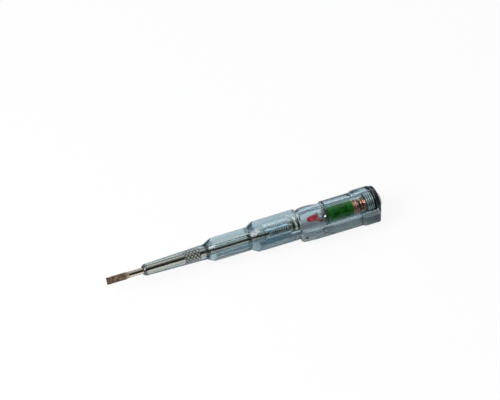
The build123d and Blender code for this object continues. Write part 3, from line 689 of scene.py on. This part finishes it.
# Solder: smooth bright cones round the lamp's leads.
# They hold the leads on the board's front.
solder_grey, nodes, links, shader = new_finish("solder_grey", metal=1.0)
speck = grain(nodes, links, object_place(nodes, links), scale=1600)
grain_tone(nodes, links, shader, speck, (0.84, 0.82, 0.64), (0.96, 0.94, 0.78))
grain_roughness(nodes, links, shader, speck, 0.2, 0.4)
give_finish(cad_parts["solder_joints"], solder_grey)


# The resistor: a small body lacquered brown-pink, with coloured bands round it.
# It lies under the lamp's leads and hangs on leads of its own.
resistor_lacquer, nodes, links, shader = new_finish("resistor_lacquer")
body_start, body_end = 0.0889, 0.0917
body_pink = (0.72, 0.36, 0.24)
along = place_axes(nodes, links)
body_share = spread(nodes, links, along["X"], body_start, body_end, 0, 1)
bands = stepped_colour(nodes, links, body_share, [
    (0.00, body_pink),
    (0.16, (0.30, 0.08, 0.03)),
    (0.24, body_pink),
    (0.36, (0.04, 0.03, 0.03)),
    (0.44, body_pink),
    (0.58, (0.70, 0.52, 0.05)),
    (0.68, body_pink),
    (0.80, (0.62, 0.42, 0.14)),
    (0.90, body_pink),
])
bands.color_ramp.interpolation = "CONSTANT"
links.new(bands.outputs[0], shader.inputs["Base Color"])
lacquer = grain(nodes, links, object_place(nodes, links), scale=1500)
grain_roughness(nodes, links, shader, lacquer, 0.2, 0.35)
give_finish(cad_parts["series_resistor"], resistor_lacquer)


# The resistor's leads: copper wire, one to the board and one forward to the cup.
# The current for the lamp comes through them.
copper_lead, nodes, links, shader = new_finish("copper_lead", metal=1.0)
speck = grain(nodes, links, object_place(nodes, links, stretch=(0.2, 1, 1)), scale=2500)
grain_tone(nodes, links, shader, speck, (0.60, 0.33, 0.20), (0.80, 0.52, 0.36))
grain_roughness(nodes, links, shader, speck, 0.2, 0.3)
give_finish(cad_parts["resistor_leads"], copper_lead)


# The transistor chip: a small block of moulded grey epoxy.
# It is fixed on the board and switches the lamp.
chip_epoxy, nodes, links, shader = new_finish("chip_epoxy")
epoxy = grain(nodes, links, object_place(nodes, links), scale=4000)
grain_tone(nodes, links, shader, epoxy, (0.26, 0.26, 0.20), (0.36, 0.36, 0.28))
grain_roughness(nodes, links, shader, epoxy, 0.4, 0.6)
give_finish(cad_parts["driver_chip"], chip_epoxy)


# The capacitor: a tan ceramic block with tinned ends.
# It is fixed on the board beside the chip.
block_middle, bare_half = -0.0014, 0.00045
capacitor_tan, nodes, links, shader = new_finish("capacitor_tan")
along = place_axes(nodes, links)
bare_ceramic = calculated(nodes, links, "COMPARE", along["Z"], block_middle, bare_half)
ceramic = grain(nodes, links, object_place(nodes, links), scale=3000)
tan = grain_colour(nodes, links, ceramic, (0.34, 0.22, 0.12), (0.44, 0.30, 0.18))
block_colour = blend_colours(nodes, links, bare_ceramic, (0.70, 0.70, 0.67), tan)
links.new(block_colour, shader.inputs["Base Color"])
links.new(spread(nodes, links, bare_ceramic, 0, 1, 1, 0), shader.inputs["Metallic"])
shader.inputs["Roughness"].default_value = 0.35
give_finish(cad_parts["chip_capacitor"], capacitor_tan)


# The terminal on the back of the board: a small brass disc, on which the first cell presses.
# It is the same brass as the washer.
give_finish(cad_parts["board_terminal"], washer_brass)


# The button cells: drawn steel cans with nickel plate.
# Three of them stand in a row inside the green sleeve.
cell_steel, nodes, links, shader = new_finish("cell_steel", metal=1.0)
drawn = grain(nodes, links, object_place(nodes, links, stretch=(0.5, 1, 1)), scale=1500)
grain_tone(nodes, links, shader, drawn, (0.55, 0.55, 0.54), (0.72, 0.72, 0.70))
grain_roughness(nodes, links, shader, drawn, 0.2, 0.3)
for cell_name in ("cell_front", "cell_middle", "cell_rear"):
    give_finish(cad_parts[cell_name], cell_steel)


# The sleeve round the cells: green shrink film, satin, with worn dark blots printed round it.
# Both of its ends are bare of print.
sleeve_front, sleeve_back = 0.0935, 0.1057
sleeve_length, sleeve_girth = 12.2, 25.4  # laid flat, in millimetres
wrap_green, nodes, links, shader = new_finish("wrap_green")
around = place_axes(nodes, links)
angle = calculated(nodes, links, "ARCTAN2", around["Z"], around["Y"])
flat_x = spread(nodes, links, around["X"], sleeve_front, sleeve_back, 0, sleeve_length)
flat_y = spread(nodes, links, angle, -pi, pi, 0, sleeve_girth)
flat_place = nodes.new("ShaderNodeCombineXYZ")
links.new(flat_x, flat_place.inputs["X"])
links.new(flat_y, flat_place.inputs["Y"])
bars = nodes.new("ShaderNodeTexBrick")
bars.offset = 0.37
bars.inputs["Color1"].default_value = (1, 1, 1, 1)
bars.inputs["Color2"].default_value = (0, 0, 0, 1)
bars.inputs["Mortar"].default_value = (0, 0, 0, 1)
bars.inputs["Scale"].default_value = 1.0
bars.inputs["Mortar Size"].default_value = 0.22
bars.inputs["Mortar Smooth"].default_value = 0.1
bars.inputs["Bias"].default_value = -0.1
bars.inputs["Brick Width"].default_value = 1.25
bars.inputs["Row Height"].default_value = 1.7
links.new(flat_place.outputs[0], bars.inputs["Vector"])
sleeve_share = spread(nodes, links, around["X"], sleeve_front, sleeve_back, 0, 1)
printed = stepped_colour(nodes, links, sleeve_share, [
    (0.20, (0, 0, 0)),
    (0.24, (1, 1, 1)),
    (0.76, (1, 1, 1)),
    (0.80, (0, 0, 0)),
])
ink = calculated(nodes, links, "MULTIPLY", bars.outputs["Color"], printed.outputs[0])
wear = grain(nodes, links, flat_place.outputs[0], scale=0.8, detail=1)
worn_off, still_printed = 0.38, 0.42
worn_print = spread(nodes, links, wear, worn_off, still_printed, 0, 1)
inked = calculated(nodes, links, "MULTIPLY", ink, worn_print)
film = grain(nodes, links, object_place(nodes, links), scale=900)
green = grain_colour(nodes, links, film, (0.014, 0.24, 0.010), (0.030, 0.33, 0.014))
sleeve_colour = blend_colours(nodes, links, inked, green, (0.001, 0.008, 0.002))
links.new(sleeve_colour, shader.inputs["Base Color"])
shader.inputs["Specular IOR Level"].default_value = 0.25
shader.inputs["Roughness"].default_value = 0.4
relief(nodes, links, shader, film, depth=0.00003, strength=0.3)
wrap = welded_copy("cell_wrap", "green_sleeve")
give_finish(wrap, wrap_green)
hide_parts("cell_wrap")
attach(wrap, "lamp_module")


# The tail spring: copper-plated wire, few wide turns, between the last cell and the plug.
# Its end turns are closed, and the plug presses it together when the cap is screwed in.
tail_coil = wound_spring(
    "tail_coil", start=0.1056, end=0.1126, mean_radius=0.003175, wire=0.00065, turns=4.5
)
copper_wire, nodes, links, shader = new_finish("copper_wire", metal=1.0)
speck = grain(nodes, links, object_place(nodes, links), scale=1400)
plated = grain_colour(nodes, links, speck, (0.98, 0.38, 0.20), (1.0, 0.58, 0.36))
# Painted shade: the wire's inner side is dark red-brown, while its outer side keeps the copper plate.
shaded_inside, unshaded_outside = 0.00312, 0.00332
unshaded_share = spread(nodes, links, from_axis(nodes, links), shaded_inside, unshaded_outside, 0, 1)
coil_colour_with_inner_shade = blend_colours(nodes, links, unshaded_share, (0.32, 0.055, 0.025), plated)
links.new(coil_colour_with_inner_shade, shader.inputs["Base Color"])
grain_roughness(nodes, links, shader, speck, 0.14, 0.26)
give_finish(tail_coil, copper_wire)
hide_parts("tail_spring")
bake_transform(tail_coil)


# The threaded plug: turned brass with nickel plate and a fine right-hand thread.
# Its stem goes through the cap to the touch plate.
plug_start, plug_end, stem_end = 0.1121, 0.1165, 0.1198
thread_root, thread_crest, thread_pitch = 0.00425, 0.0046, 0.0010
thread_foot, thread_rise, thread_runout = 0.22, 0.56, 0.0004
thread_skin = 0.00002
thread_facets, thread_cuts = 120, 111
recess_radius, recess_depth, stem_radius = 0.00365, 0.0005, 0.0016
bpy.ops.object.select_all(action="DESELECT")
bpy.ops.mesh.primitive_cylinder_add(
    vertices=thread_facets,
    radius=thread_root,
    depth=plug_end - plug_start,
    location=((plug_start + plug_end) / 2, 0, 0),
    rotation=(0, pi / 2, 0),
)
plug = bpy.context.object
plug.name = "screw_plug"
bpy.ops.object.transform_apply(location=True, rotation=True, scale=True)
choose(plug, "EDGE", lambda edge: lies_along(plug, edge))
bpy.ops.mesh.subdivide(number_cuts=thread_cuts)
choose(plug, "FACE", lambda face: face.normal.x < -0.9)
bpy.ops.mesh.inset(thickness=thread_root - recess_radius, depth=0.0)
bpy.ops.mesh.extrude_region_move(TRANSFORM_OT_translate={"value": (recess_depth, 0, 0)})
choose(plug, "FACE", lambda face: face.normal.x > 0.9 and face.center.x > plug_end - 0.0001)
bpy.ops.mesh.inset(thickness=thread_root - stem_radius, depth=0.0)
bpy.ops.mesh.extrude_region_move(TRANSFORM_OT_translate={"value": (stem_end - plug_end, 0, 0)})
bpy.ops.object.mode_set(mode="OBJECT")
for vertex in plug.data.vertices:
    place = vertex.co
    if place.yz.length < thread_root - thread_skin:
        continue
    phase = (place.x - plug_start) / thread_pitch - atan2(place.z, place.y) / (2 * pi)
    flank = 1 - 2 * abs(phase % 1 - 0.5)
    edge_gap = min(place.x - plug_start, plug_end - place.x) / thread_runout
    height = min(max((flank - thread_foot) / thread_rise, 0.0), 1.0) * min(edge_gap, 1.0)
    place.yz = place.yz.normalized() * (thread_root + (thread_crest - thread_root) * height)
bpy.ops.object.shade_smooth_by_angle(angle=radians(28))
plug_nickel, nodes, links, shader = new_finish("plug_nickel", metal=1.0)
turned = grain(nodes, links, object_place(nodes, links, stretch=(24, 1, 1)), scale=900)
plated = grain_colour(nodes, links, turned, (0.86, 0.86, 0.78), (0.97, 0.97, 0.90))
# Painted shade: the thread's roots are painted near black, between its plated crests.
shaded_root, plated_crest = thread_root + 0.00005, thread_crest - 0.0001
out_of_root_shade = spread(nodes, links, from_axis(nodes, links), shaded_root, plated_crest, 0, 1)
thread_colour_with_root_shade = blend_colours(nodes, links, out_of_root_shade, (0.14, 0.15, 0.16), plated)
links.new(thread_colour_with_root_shade, shader.inputs["Base Color"])
grain_roughness(nodes, links, shader, turned, 0.30, 0.42)
give_finish(plug, plug_nickel)
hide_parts("threaded_plug")
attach(plug, "cap")


# The end cap: moulded black plastic, domed and polished, a little uneven from fingers.
# It sits round the plug's stem and turns with it.
cap_black, nodes, links, shader = new_finish("cap_black")
dust = grain(nodes, links, object_place(nodes, links), scale=1200)
grain_tone(nodes, links, shader, dust, (0.006, 0.007, 0.009), (0.016, 0.018, 0.022))
grain_roughness(nodes, links, shader, dust, 0.12, 0.26)
cap = welded_copy("end_cap", "black_cap")
give_finish(cap, cap_black)
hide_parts("end_cap")
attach(cap, "cap")


# The touch plate: a crowned copper disc in the cap's middle, worn bright by fingers.
# The plug's stem reaches it, so a finger on it closes the circuit.
touch_copper, nodes, links, shader = new_finish("touch_copper", metal=1.0)
worn = grain(nodes, links, object_place(nodes, links, stretch=(10, 1, 1)), scale=900)
grain_tone(nodes, links, shader, worn, (0.60, 0.34, 0.20), (0.84, 0.56, 0.40))
grain_roughness(nodes, links, shader, worn, 0.16, 0.30)
plate = welded_copy("touch_plate", "copper_plate")
give_finish(plate, touch_copper)
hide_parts("touch_plate")
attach(plate, "cap")
